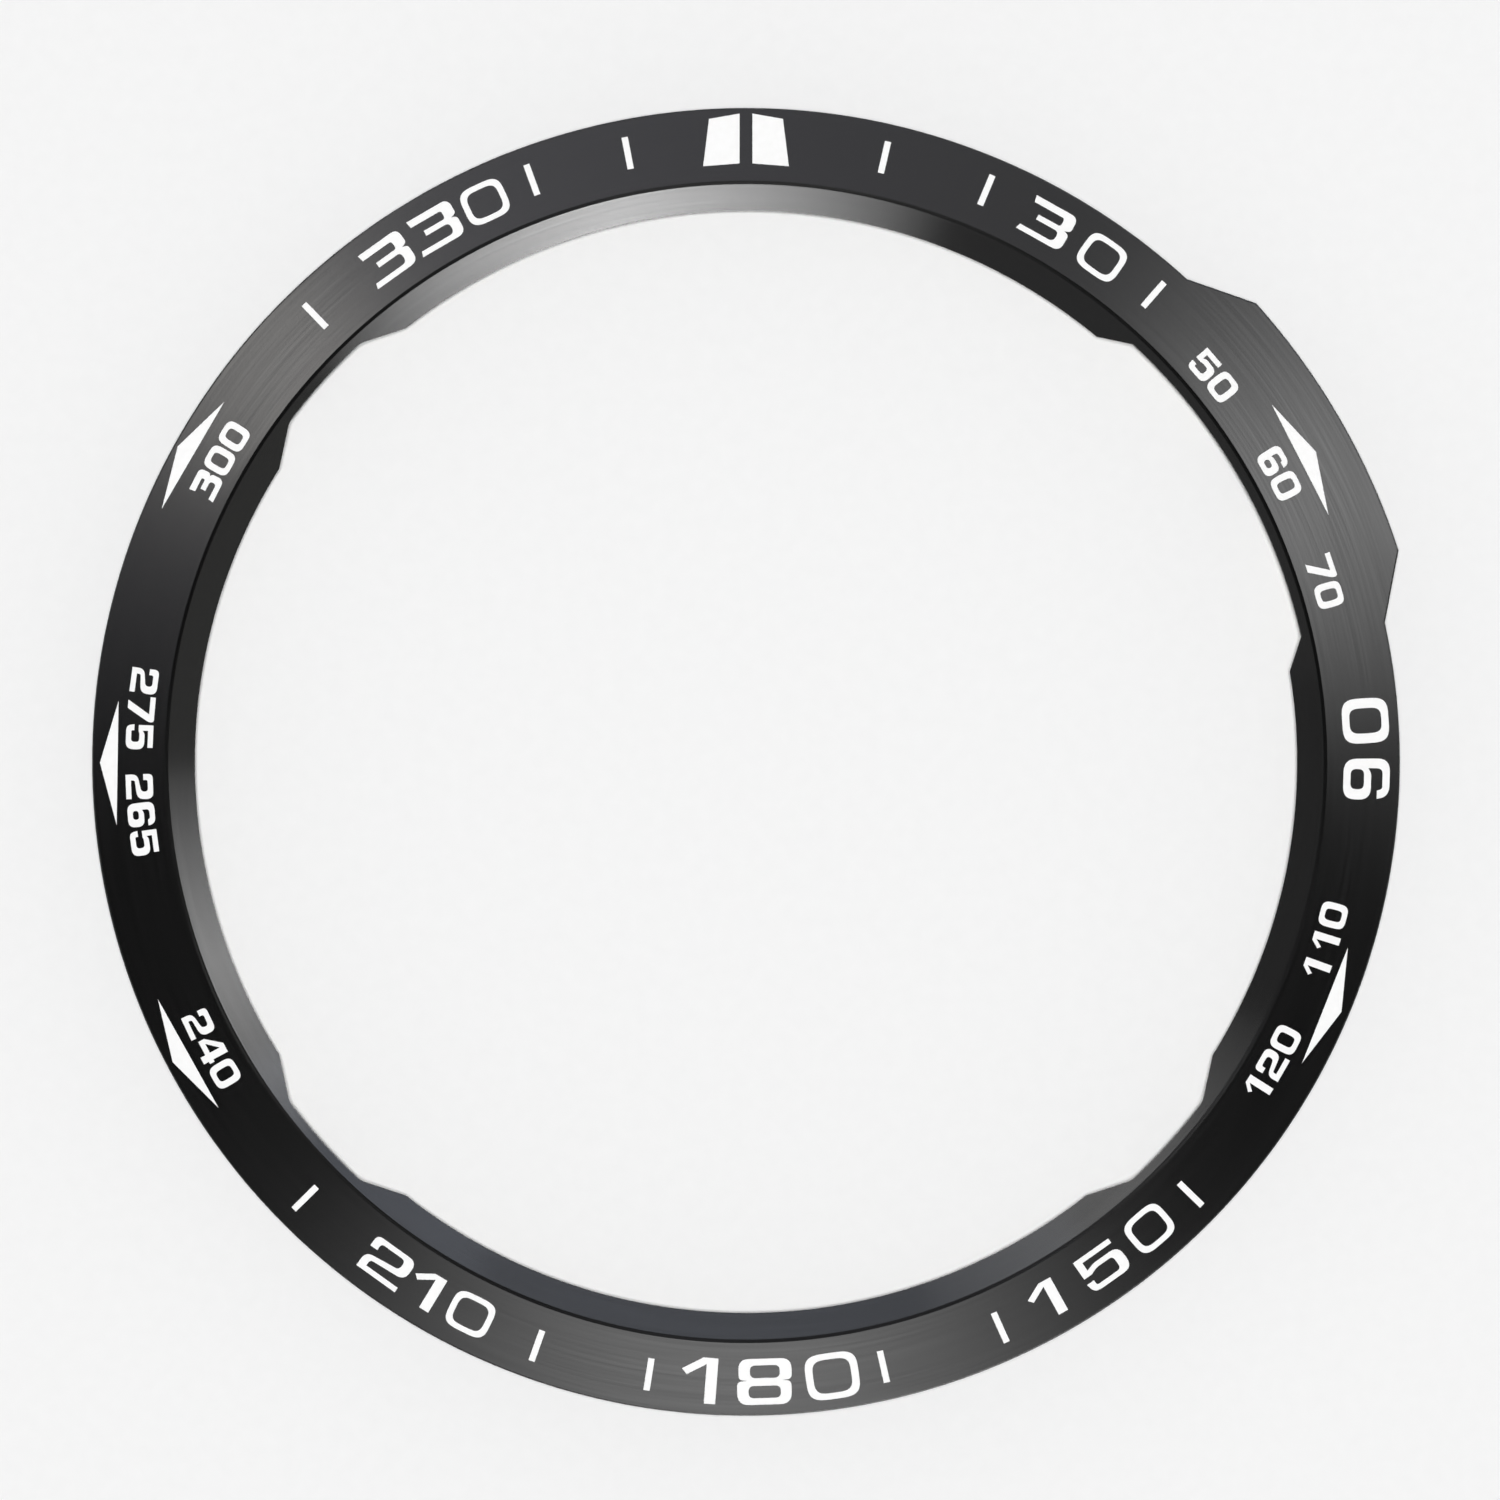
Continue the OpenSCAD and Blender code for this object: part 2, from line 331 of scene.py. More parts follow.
# %% The ring's driving sizes, in millimetres
FACE_SLOPE = 8
TOP_T = 0.3
WALL_T = 0.5
LEDGE = 0.3
EDGE_BREAK = 0.05
MOUTH_LEAD = 0.1
CREST_BREAK = 0.13
SKIRT_W = 0.99
SKIRT_H = 0.93
SKIRT_T = 0.35
TIP_LAND = 0.08
NOTCH_DEPTH = 0.64
GUARD_BEARING = 60.05
GUARD_R = OUTER_R + 1.16
GUARD_BASE_W = 14.25
GUARD_TOP_W = 10.25
SHORT_NOTCH = {"mouth_w": 6.8, "root_w": 3.8, "fillet": 1.0}
LONG_NOTCH = {"mouth_w": 13.9, "root_w": 12.1, "fillet": 0.1}
NOTCHES = {GUARD_BEARING: LONG_NOTCH, 132: SHORT_NOTCH, 228: SHORT_NOTCH, 312: SHORT_NOTCH}

ring_low, ring_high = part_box("bezel_ring")
RING_H = (ring_high.z - ring_low.z) / MM
OPENING_R = CREST_R - SKIRT_W
ROOT_R = OPENING_R + NOTCH_DEPTH
face_lean = math.radians(FACE_SLOPE)
face_fall = math.tan(face_lean)
skirt_rise = (SKIRT_H - TIP_LAND) / SKIRT_W
skirt_lean = math.atan(skirt_rise)
SKIRT_SLOPE = math.degrees(skirt_lean)
CREST_CUT = CREST_BREAK / (math.cos(skirt_lean) + math.cos(face_lean))
CREST_Z = RING_H + CREST_CUT * math.sin(face_lean)
TIP_Z = CREST_Z - SKIRT_H
print(f"ring {RING_H:.2f} mm high, skirt at {SKIRT_SLOPE:.1f} degrees")


# %% Heights at a radius
def face_z(r):
    """Height of the conical top at a radius."""
    return CREST_Z - (r - CREST_R) * face_fall


def skirt_z(r):
    """Height of the skirt's upper face at a radius."""
    return TIP_Z + TIP_LAND + (r - OPENING_R) * skirt_rise


print(f"crest at {face_z(CREST_R):.2f} mm, rim at {face_z(OUTER_R):.2f} mm")


# %% The outline with its guard
def turn_from(bearing, middle):
    """How far a bearing lies from another, in degrees, the short way round and unsigned."""
    return abs((bearing - middle + 180) % 360 - 180)


def straight_line(start, end):
    """A line in plan as its distance from the axis and the bearing of its nearest point."""
    run = Vector(end) - Vector(start)
    normal = Vector((-run.y, run.x)).normalized()
    if normal.dot(Vector(start)) < 0:
        normal = -normal
    return normal.dot(Vector(start)), math.degrees(math.atan2(normal.x, normal.y))


def on_circle(half_width, r):
    """The point of a circle that lies a half width to the right of +Y."""
    return half_width, math.sqrt(r * r - half_width * half_width)


guard_line = straight_line(
    on_circle(GUARD_BASE_W / 2, OUTER_R), on_circle(GUARD_TOP_W / 2, GUARD_R)
)


def outline_radius(bearing, inset):
    """Radius of the ring's outline, moved inwards by an inset."""
    distance, line_turn = guard_line
    turn = turn_from(bearing, GUARD_BEARING)
    if turn > line_turn:
        return OUTER_R - inset
    flank = (distance - inset) / math.cos(math.radians(turn - line_turn))
    return max(OUTER_R - inset, min(GUARD_R - inset, flank))


print(f"the guard reaches {outline_radius(GUARD_BEARING, 0):.2f} mm from the axis")


# %% [markdown]
# A notch has a straight root on a circle, two slanting sides, and a fillet in each corner, as a
# cutter leaves it. Its edge at a bearing lies on one of the three: the side, the fillet or the root.


# %% The clear opening with its notches
def crossing(line, inset, r):
    """How far from the middle of a shape its straight side crosses a radius, in degrees."""
    return line[1] - math.degrees(math.acos((line[0] - inset) / r))


def notch_side(shape):
    """A notch's straight side, and the turns of its fillet's centre and of both its ends."""
    line = straight_line(
        on_circle(shape["mouth_w"] / 2, OPENING_R), on_circle(shape["root_w"] / 2, ROOT_R)
    )
    fillet = shape["fillet"]
    centre_r = ROOT_R - fillet
    centre_turn = crossing(line, fillet, centre_r)
    lean = math.radians(line[1] - centre_turn)
    side_turn = centre_turn + math.degrees(
        math.atan2(fillet * math.sin(lean), centre_r + fillet * math.cos(lean))
    )
    return line, centre_r, centre_turn, side_turn


def inner_radius(bearing):
    """Radius at which the skirt ends: at the clear opening, or at a notch's edge."""
    for middle, shape in NOTCHES.items():
        line, centre_r, centre_turn, side_turn = notch_side(shape)
        turn = turn_from(bearing, middle)
        if turn > crossing(line, 0, OPENING_R):
            continue
        if turn >= side_turn:
            return line[0] / math.cos(math.radians(turn - line[1]))
        if turn <= centre_turn:
            return ROOT_R
        off = math.radians(turn - centre_turn)
        return centre_r * math.cos(off) + math.sqrt(
            shape["fillet"] ** 2 - (centre_r * math.sin(off)) ** 2
        )
    return OPENING_R


print(f"the notches are {max(map(inner_radius, NOTCHES)) - OPENING_R:.2f} mm deep")


# %% [markdown]
# The section runs once round the metal: up the skirt, over the narrow flat on the crest, down the
# conical top and the outer wall, and back through the recess underneath, where the tape sits. Each
# bearing has the same number of points, so neighbouring sections join up with plain quads.

# %% Section of the ring
FACE_SPANS = 8
SKIRT_SPANS = 4
WALL_SPANS = 3
SEAT_Z = face_z(GUARD_R - WALL_T) - TOP_T
TIP_OUT_R = OPENING_R - TIP_LAND / skirt_rise + SKIRT_T / math.sin(skirt_lean)
FOOT_R = TIP_OUT_R + (SEAT_Z - TIP_Z) / skirt_rise


def between(start, end, spans):
    """The points that split the way from start to end into equal spans, without the start."""
    return [
        tuple(a + (b - a) * i / spans for a, b in zip(start, end)) for i in range(1, spans + 1)
    ]


def section(bearing):
    """Radius and height of each point of the ring's section at a bearing."""
    in_r = inner_radius(bearing)
    edge_r, wall_r = outline_radius(bearing, EDGE_BREAK), outline_radius(bearing, 0)
    bore_r, ledge_r = outline_radius(bearing, WALL_T), outline_radius(bearing, WALL_T + LEDGE)
    low_r = CREST_R - CREST_CUT * math.cos(skirt_lean)
    high_r = CREST_R + CREST_CUT * math.cos(face_lean)
    points = [(in_r, skirt_z(in_r))]
    points += between(points[-1], (low_r, skirt_z(low_r)), SKIRT_SPANS)
    points.append((high_r, face_z(high_r)))
    points += between(points[-1], (edge_r, face_z(edge_r)), FACE_SPANS)
    points.append((wall_r, face_z(edge_r) - EDGE_BREAK))
    points += between(points[-1], (wall_r, EDGE_BREAK), WALL_SPANS)
    points.append((edge_r, 0))
    points.append((bore_r + MOUTH_LEAD, 0))
    points.append((bore_r, MOUTH_LEAD))
    points.append((bore_r, SEAT_Z - LEDGE))
    points.append((ledge_r, SEAT_Z - LEDGE))
    points.append((ledge_r, SEAT_Z))
    points.append((FOOT_R, SEAT_Z))
    under_r = max(in_r, TIP_OUT_R)
    points.append((under_r, TIP_Z + (under_r - TIP_OUT_R) * skirt_rise))
    points.append((in_r, points[-1][1]))
    return points


print("points in the section:", len(section(0)))


# %% [markdown]
# The bearings are half a degree apart, which is 0.2 mm at the rim. The guard's and the notches'
# corners get bearings of their own, so that they stay sharp, and the small fillets get a few more.

# %% Bearings to draw the section at
STEP = 0.5
CLOSEST = 0.12
FILLET_SPANS = 6


def corner_bearings():
    """Every bearing at which the ring's plan has a corner or a fillet."""
    turns = [
        (GUARD_BEARING, crossing(guard_line, inset, r - inset))
        for inset in (0, EDGE_BREAK, WALL_T, WALL_T + LEDGE)
        for r in (OUTER_R, GUARD_R)
    ]
    for middle, shape in NOTCHES.items():
        line, centre_r, centre_turn, side_turn = notch_side(shape)
        sweep = side_turn - centre_turn
        fine = [centre_turn + sweep * i / FILLET_SPANS for i in range(FILLET_SPANS + 1)]
        turns += [(middle, turn) for turn in fine + [crossing(line, 0, OPENING_R)]]
    return sorted((middle + sign * turn) % 360 for middle, turn in turns for sign in (-1, 1))


corners = corner_bearings()
even = [i * STEP for i in range(round(360 / STEP))]
bearings = sorted(corners + [b for b in even if min(turn_from(b, c) for c in corners) > CLOSEST])
print("sections round the ring:", len(bearings))

# %% [markdown]
# A mesh is a list of points and a list of faces that join them by number. The sections stand side by
# side like the staves of a barrel, each with the same number of points, so point j of one section,
# point j + 1, and the same two of the next section make one quad. Where two points of a section fall
# together, as where a notch cuts the skirt short, the doubled points are joined and the empty faces
# taken out. The same helper makes every other mesh here.


# %% Ring mesh
WELD_MM = 1e-4
SLIVER_MM = 1e-5


def at_bearing(bearing, x, y):
    """Turns a point drawn about +Y clockwise to a bearing."""
    turn = math.radians(bearing)
    return x * math.cos(turn) + y * math.sin(turn), y * math.cos(turn) - x * math.sin(turn)


def new_object(name, vertices, faces):
    """A mesh object from points in millimetres, with doubled points joined and faces turned out."""
    mesh = bpy.data.meshes.new(name)
    mesh.from_pydata([Vector(v) * MM for v in vertices], [], faces)
    work = bmesh.new()
    work.from_mesh(mesh)
    bmesh.ops.remove_doubles(work, verts=work.verts, dist=WELD_MM * MM)
    bmesh.ops.dissolve_degenerate(work, edges=work.edges, dist=SLIVER_MM * MM)
    bmesh.ops.recalc_face_normals(work, faces=work.faces)
    work.to_mesh(mesh)
    work.free()
    piece = bpy.data.objects.new(name, mesh)
    scene.collection.objects.link(piece)
    return piece


columns = [[(*at_bearing(b, 0, r), z) for r, z in section(b)] for b in bearings]
count = len(columns[0])
ring_faces = [
    (i * count + j, i * count + (j + 1) % count, k * count + (j + 1) % count, k * count + j)
    for i, k in zip(range(len(columns)), list(range(1, len(columns))) + [0])
    for j in range(count)
]
ring = new_object("engraved_ring", [v for column in columns for v in column], ring_faces)
print("faces in the plain ring:", len(ring.data.polygons))

# %% [markdown]
# The figures are wide and squared, as on many instruments. A text object would bring a typeface's
# own outlines, and these digits are drawn for a small engraving tool, so each is made here: a closed
# outline with holes, in a box that is one unit wide and one high, as a few corners with their
# roundings. Stems are thicker than bars, so both come as shares of the box, s and b. The zero is a
# superellipse, a curve between an ellipse and a rectangle, which gives it its slightly swollen sides.

# %% Helpers for digits
ARC_STEPS = 6
OVAL_STEPS = 48
OVAL_POWER = 3.9
SHARP_BELOW_MM = 1e-6


def rounded(corners, w, h):
    """A closed outline through corners (x, y, radius), as shares of the box, in millimetres."""
    outline = []
    for i, (x, y, radius) in enumerate(corners):
        here = Vector((x * w, y * h))
        before = Vector((corners[i - 1][0] * w, corners[i - 1][1] * h)) - here
        after_x, after_y, _ = corners[(i + 1) % len(corners)]
        after = Vector((after_x * w, after_y * h)) - here
        reach = min(radius * h, before.length / 2, after.length / 2)
        if reach < SHARP_BELOW_MM:
            outline.append(here)
            continue
        start, end = here + before.normalized() * reach, here + after.normalized() * reach
        for step in range(ARC_STEPS + 1):
            t = step / ARC_STEPS
            # A quadratic curve pulled towards the corner is close to a round one
            outline.append(start * (1 - t) ** 2 + here * 2 * t * (1 - t) + end * t**2)
    return [tuple(point) for point in outline]


def oval(w, h, side, bar):
    """A superellipse that fills the box, less a side's and a bar's thickness."""
    points = []
    for i in range(OVAL_STEPS):
        c, s = math.cos(2 * math.pi * i / OVAL_STEPS), math.sin(2 * math.pi * i / OVAL_STEPS)
        x = math.copysign(abs(c) ** (2 / OVAL_POWER), c) * (w / 2 - side)
        y = math.copysign(abs(s) ** (2 / OVAL_POWER), s) * (h / 2 - bar)
        points.append((w / 2 + x, h / 2 + y))
    return points


print("points in an oval:", len(oval(1, 1, 0, 0)))


# %% Digits from one to four
def one(s, b):
    """A stem with a flag at its upper left."""
    return [[(1 - s, 0, 0), (1, 0, 0), (1, 1, 0), (0.9 - s, 1, 0), (0, 0.73, 0), (0.15, 0.61, 0),
             (1 - s, 0.86, 0)]]


def two(s, b):
    """A hook over a sloping middle stroke and a flat foot."""
    return [[(0, 0.65, 0), (0, 1, 0.2), (1, 1, 0.25), (1, 0.41, 0.25), (0.8 * s, 0.33, 0.12),
             (0.8 * s, b, 0), (0.98, b, 0), (0.98, 0, 0), (0, 0, 0), (0, 0.44, 0.22),
             (1 - s, 0.56, 0.12), (1 - s, 1 - b, 0.12), (0.8 * s, 1 - b, 0.1), (0.8 * s, 0.65, 0)]]


def three(s, b):
    """Three bars that end in slanted cuts, on a stem with a waist."""
    return [[(0.05, 1, 0), (1, 1, 0.22), (1, 0.58, 0.16), (0.88, 0.53, 0), (0.99, 0.48, 0.14),
             (0.99, 0, 0.34), (0, 0, 0), (0.035, b, 0), (1 - s, b, 0.2), (1 - s, 0.44, 0.12),
             (0.27, 0.44, 0), (0.27, 0.44 + b, 0), (0.98 - s, 0.44 + b, 0.08),
             (0.98 - s, 0.96 - b, 0.08), (0.08, 0.96 - b, 0)]]


def four(s, b):
    """A stem crossed by a bar, with a slope down to its left end and a three-cornered hole."""
    return [[(0.6, 0, 0), (0.6 + s, 0, 0), (0.6 + s, 0.2, 0), (1, 0.2, 0), (1, 0.2 + b, 0),
             (0.6 + s, 0.2 + b, 0), (0.6 + s, 1, 0), (0.5, 1, 0), (0, 0.24 + b, 0), (0, 0.2, 0),
             (0.6, 0.2, 0)],
            [(0.6, 0.2 + b, 0), (0.6, 0.8, 0), (0.2, 0.2 + b, 0)]]


print("corners of a 3:", len(three(0.2, 0.15)[0]))


# %% Digits from five to nine
def five(s, b):
    """A flat top and a short stem over a bowl with a hook."""
    left = 0.02 + 0.75 * s
    return [[(0.02, 1, 0), (0.92, 1, 0), (0.92, 1 - b, 0), (left, 1 - b, 0), (left, 0.61, 0),
             (0.36, 0.685, 0.14), (1, 0.685, 0.28), (1, 0, 0.28), (0.2, 0, 0.08),
             (0.09, 0.03, 0.06), (0.03, 0.12, 0.08), (0, 0.3, 0), (0.8 * s, 0.3, 0), (0.8 * s, b, 0.1),
             (1 - s, b, 0.12), (1 - s, 0.685 - b, 0.12), (0.36, 0.685 - b, 0.1),
             (left + 0.03, 0.46, 0), (0.02, 0.46, 0)]]


def seven(s, b):
    """A flat top on a leaning leg."""
    return [[(0, 1, 0), (1, 1, 0.1), (1, 0.8, 0.1), (0.5, 0, 0), (0.5 - 1.1 * s, 0, 0),
             (0.99 - s, 1 - b, 0), (0, 1 - b, 0)]]


def eight(s, b):
    """Two bowls that meet in a pinched waist, each with a rounded hole."""
    return [[(0.035, 1, 0.26), (1, 1, 0.26), (1, 0.545, 0.16), (0.82, 0.527, 0), (0.99, 0.51, 0.16),
             (0.99, 0, 0.26), (0, 0, 0.26), (0, 0.51, 0.16), (0.19, 0.527, 0),
             (0.035, 0.545, 0.16)],
            [(0.035 + s, 1 - b, 0.12), (0.99 - s, 1 - b, 0.12), (0.99 - s, 0.58, 0.12),
             (0.035 + s, 0.58, 0.12)],
            [(s, 0.41, 0.12), (1 - s, 0.41, 0.12), (1 - s, b, 0.12), (s, b, 0.12)]]


def nine(s, b):
    """A bowl with a rounded hole, notched below, on a stem that ends in a hook."""
    return [[(0.02, 0.4, 0.26), (0.02, 1, 0.26), (0.96, 1, 0.28), (1, 0, 0.28), (0.3, 0, 0.1),
             (0.17, 0.035, 0.08), (0.08, 0.13, 0.08), (0.048, 0.27, 0), (0.05 + 0.8 * s, 0.27, 0),
             (0.05 + 0.95 * s, b, 0.12), (1 - s, b, 0.12), (1 - s, 0.465, 0),
             (0.88 - s, 0.4, 0.08)],
            [(0.02 + s, 0.4 + b, 0.12), (0.02 + s, 1 - b, 0.12), (0.97 - s, 1 - b, 0.12),
             (0.97 - s, 0.4 + b, 0.12)]]


print("outlines of an 8:", len(eight(0.2, 0.15)))

# %% Any digit
DIGITS = {"1": one, "2": two, "3": three, "4": four, "5": five, "7": seven, "8": eight, "9": nine}


def digit(figure, w, h, stem, bar):
    """The outlines of one digit in millimetres: the outer one first, and then its holes."""
    if figure == "0":
        return [oval(w, h, 0, 0), oval(w, h, stem, bar)]
    if figure == "6":
        return [[(w - x, h - y) for x, y in outline] for outline in digit("9", w, h, stem, bar)]
    return [rounded(corners, w, h) for corners in DIGITS[figure](stem / w, bar / h)]


print("points round an 8:", sum(len(outline) for outline in digit("8", 1.8, 1.5, 0.4, 0.25)))


# %% [markdown]
# A figure is engraved a tenth of a millimetre deep and filled with enamel almost to the face. White
# painted on by a material would do from far away, and up close the step and its thin shadow would be
# missing. Both the tool that cuts the pocket and the paint that fills it are the same outline,
# pulled down through the conical top to a given depth below it, so one function makes them both.
# Its caps are filled with triangles, because a digit such as an 8 has holes.

# %% Solids under the conical face
POCKET_DEPTH = 0.1
PAINT_GAP = 0.015
TOOL_LIFT = 0.3


def under_face(loops, top_depth, floor_depth):
    """Vertices and faces of a solid between two depths below the conical face."""
    flat_points = [point for loop in loops for point in loop]
    count = len(flat_points)
    vertices = [
        (x, y, face_z(math.hypot(x, y)) - depth)
        for depth in (top_depth, floor_depth)
        for x, y in flat_points
    ]
    caps = tessellate_polygon([[Vector((x, y, 0)) for x, y in loop] for loop in loops])
    faces = [tuple(cap) for cap in caps]
    faces += [tuple(i + count for i in reversed(cap)) for cap in caps]
    first = 0
    for loop in loops:
        ends = [first + i for i in range(len(loop))]
        faces += [(i, k, k + count, i + count) for i, k in zip(ends, ends[1:] + ends[:1])]
        first += len(loop)
    return vertices, faces


def joined(solids):
    """Several solids as one list of vertices and one of faces."""
    vertices, faces = [], []
    for more_vertices, more_faces in solids:
        faces += [tuple(i + len(vertices) for i in face) for face in more_faces]
        vertices += more_vertices
    return vertices, faces


print("pocket depth:", POCKET_DEPTH, "mm")

# %% [markdown]
# Numbers on the upper half have their tops outwards, and the others have them towards the centre,
# so that all can be read from the front. Every digit stands on its own bearing, because a number
# that is bent round as a whole would have its digits sheared. The large numbers are a direction in
# degrees, and the small ones between them are generic, in the same hand. Five sets of sizes, in
# millimetres, follow the ring's own: a zero has its width, height, side and bar.

# %% Numbers round the ring
UPPER = dict(height=1.39, width=1.81, stem=0.39, bar=0.2, zero=(1.62, 1.4, 0.225, 0.2))
LOWER = dict(height=1.34, width=1.73, stem=0.38, bar=0.195, zero=(1.62, 1.4, 0.225, 0.2))
BOLD = dict(height=1.67, width=1.54, stem=0.37, bar=0.26, zero=(1.62, 1.68, 0.355, 0.265))
BROAD = dict(height=1.66, width=1.98, stem=0.41, bar=0.24, zero=(1.92, 1.67, 0.27, 0.225))
SMALL = dict(height=0.98, width=0.9, stem=0.27, bar=0.19, zero=(0.9, 0.98, 0.24, 0.19))
ONE_SHARE = 0.65  # a 1 is narrower than the other digits
SMALL_PITCH = 2.65
SMALL_FOOT_R = {"outwards": 21.3, "inwards": 22.3}


def small_bearings(middle, figures, tops):
    """Bearings of a small number's digits: clockwise, or the other way with tops inwards."""
    step = SMALL_PITCH if tops == "outwards" else -SMALL_PITCH
    return [middle + step * (i - (len(figures) - 1) / 2) for i in range(len(figures))]


NUMBERS = [
    ("30", UPPER, "outwards", 21.49, [29.2, 35.2]),
    ("90", BOLD, "inwards", 23.14, [91.6, 86.2]),
    ("150", LOWER, "inwards", 22.83, [150.95, 144.7, 139.15]),
    ("180", BROAD, "inwards", 23.11, [184.35, 178.3, 172.0]),
    ("210", LOWER, "inwards", 22.85, [215.6, 211.4, 206.5]),
    ("330", UPPER, "outwards", 21.5, [324.5, 329.8, 335.0]),
]
for text, middle, tops in [
    ("50", 50.5, "outwards"),
    ("60", 61.6, "outwards"),
    ("70", 72.7, "outwards"),
    ("110", 107.3, "inwards"),
    ("120", 119.9, "inwards"),
    ("240", 241.75, "inwards"),
    ("265", 265, "inwards"),
    ("275", 275, "inwards"),
    ("300", 299.8, "outwards"),
]:
    NUMBERS.append((text, SMALL, tops, SMALL_FOOT_R[tops], small_bearings(middle, text, tops)))


def number_outlines(text, style, tops, foot_r, digit_bearings):
    """The outlines of each digit of a number, laid on the ring."""
    placed = []
    for figure, bearing in zip(text, digit_bearings):
        width, height, stem, bar = (style[part] for part in ("width", "height", "stem", "bar"))
        if figure == "0":
            width, height, stem, bar = style["zero"]
        if figure == "1":
            width *= ONE_SHARE
        up = 1 if tops == "outwards" else -1
        foot = (style["height"] - height) / 2
        placed.append([
            [at_bearing(bearing, up * (x - width / 2), foot_r + up * (foot + y)) for x, y in loop]
            for loop in digit(figure, width, height, stem, bar)
        ])
    return placed


figures = []
tools = []
for number in NUMBERS:
    digits = number_outlines(*number)
    fill = joined([under_face(loops, PAINT_GAP, POCKET_DEPTH) for loops in digits])
    figures.append(new_object(f"figure_{number[0]}", *fill))
    tools += [under_face(loops, -TOOL_LIFT, POCKET_DEPTH) for loops in digits]
print("numbers:", len(figures), " digits:", len(tools))

# %% [markdown]
# The plain marks, which are lines and triangles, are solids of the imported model, and their pockets
# have to be cut into the new ring too. Each pocket's tool is a copy of its paint with the upper
# face lifted clear of the metal.

# %% Tools for the plain marks
PLAIN_MARKS = sorted(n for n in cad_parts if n.startswith(("index", "pointer", "tick")))

for name in PLAIN_MARKS:
    mesh = bpy.data.objects[name].data
    lifted = []
    for vertex in mesh.vertices:
        x, y, z = vertex.co / MM
        depth = face_z(math.hypot(x, y)) - z
        lifted.append((x, y, z + TOOL_LIFT if depth < POCKET_DEPTH / 2 else z))
    tools.append((lifted, [tuple(face.vertices) for face in mesh.polygons]))
print("tools in all:", len(tools))

# %% [markdown]
# One boolean cuts all the pockets at once. The exact solver is the slower one, and it is the one
# that keeps every pocket's corners where the outline has them. The result becomes the ring's own
# mesh, so that nothing is left to be worked out later, and the tool goes.

# %% Cut every pocket
tool = new_object("pocket_tools", *joined(tools))
cut = ring.modifiers.new("pockets", "BOOLEAN")
cut.operation = "DIFFERENCE"
cut.solver = "EXACT"
cut.use_self = True
cut.object = tool
graph = bpy.context.evaluated_depsgraph_get()
engraved = bpy.data.meshes.new_from_object(ring.evaluated_get(graph))
ring.modifiers.clear()
ring.data = engraved
bpy.data.objects.remove(tool)
print("faces in the engraved ring:", len(engraved.polygons))

# %% [markdown]
# Turned metal is smooth round the axis and has a hard line wherever the tool changed its angle. Flat
# shading would show every facet, and smooth shading would round off the crest, so faces are smooth
# and any edge that bends by more than a few degrees is marked sharp. Then each piece is tied to the
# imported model: the ring and the figures ride on its one body, the engraved ring takes the place of
# the plain solid, and the solids that stay get their finish through their own material slots.

# %% Dress and place every piece
SHARP_ANGLE = math.radians(15)


def finish_piece(piece, material):
    """Gives a piece one material, and smooth faces that stay crisp at its sharp edges."""
    piece.data.materials.clear()
    piece.data.materials.append(material)
    piece.data.polygons.foreach_set("use_smooth", [True] * len(piece.data.polygons))
    piece.data.set_sharp_from_angle(angle=SHARP_ANGLE)


finish_piece(ring, steel)
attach(ring, "root")
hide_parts("bezel_ring")
for piece in figures:
    finish_piece(piece, enamel)
    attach(piece, "root")
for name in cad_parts:
    if name == "bezel_ring":
        continue
    for slot in bpy.data.objects[name].material_slots:
        slot.material = foam if name.startswith("tape") else enamel
print("dressed", len(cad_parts) + len(figures), "pieces")

# %% [markdown]
# The ring lies on pale matt paper. Its colour sets the background, and a fine mottle stands for the
# fibres. More light would also whiten a grey sheet, but it would fade the black and clip the marks.
# The sheet is a disc large enough to be seen behind the ring from any side.

# %% Floor
FLOOR_R = 4000
FLOOR_CORNERS = 64
PAPER_GRAIN_MM = 0.6

paper, tree, output = new_material("matt white paper")
place = add_node(tree, "ShaderNodeTexCoord").outputs["Object"]
fibres = add_node(
    tree, "ShaderNodeTexNoise", {"Vector": place, "Scale": 1 / (PAPER_GRAIN_MM * MM), "Detail": 3}
)
tint = add_node(
    tree,
    "ShaderNodeMix",
    {0: fibres.outputs[0], 6: linear("#F0F0F0"), 7: linear("#F4F4F4")},
    data_type="RGBA",
)
shader = add_node(
    tree,
    "ShaderNodeBsdfPrincipled",
    {"IOR": 1.4, "Roughness": 0.9, "Base Color": tint.outputs[2]},
)
tree.links.new(shader.outputs[0], output.inputs[0])
rim = [at_bearing(360 * i / FLOOR_CORNERS, 0, FLOOR_R) for i in range(FLOOR_CORNERS)]
floor = new_object("floor", [(x, y, 0) for x, y in rim], [range(FLOOR_CORNERS)])
finish_piece(floor, paper)
print("floor radius:", FLOOR_R, "mm")

# %% [markdown]
# Dark metal shows its surroundings more than its own colour. Seen from above, the conical top
# mirrors what hangs 16 degrees from straight overhead, and the steep skirt mirrors what stands just
# above the horizon on the opposite side. So soft lamps overhead give the three bright stretches of
# the top and the grey between them, and wide low lamps give those of the skirt. Painting the light
# and dark into the metal would look wrong from any other side. Those lamps light only what mirrors
# them. The paint and the paper get their light from one lamp straight overhead, which the metal
# doesn't mirror, so that the ring's shadow falls beneath it. A lamp with a small spread fades towards
# its edges, as a softbox with a grid does. Each lamp has a bearing and a height in degrees, the
# width and height that it fills when seen from the ring, also in degrees, and its radiance.

# %% Lamps
LAMP_DISTANCE = 2500
OVERHEAD = 90 - 2 * FACE_SLOPE
LOW = 90 - 2 * SKIRT_SLOPE


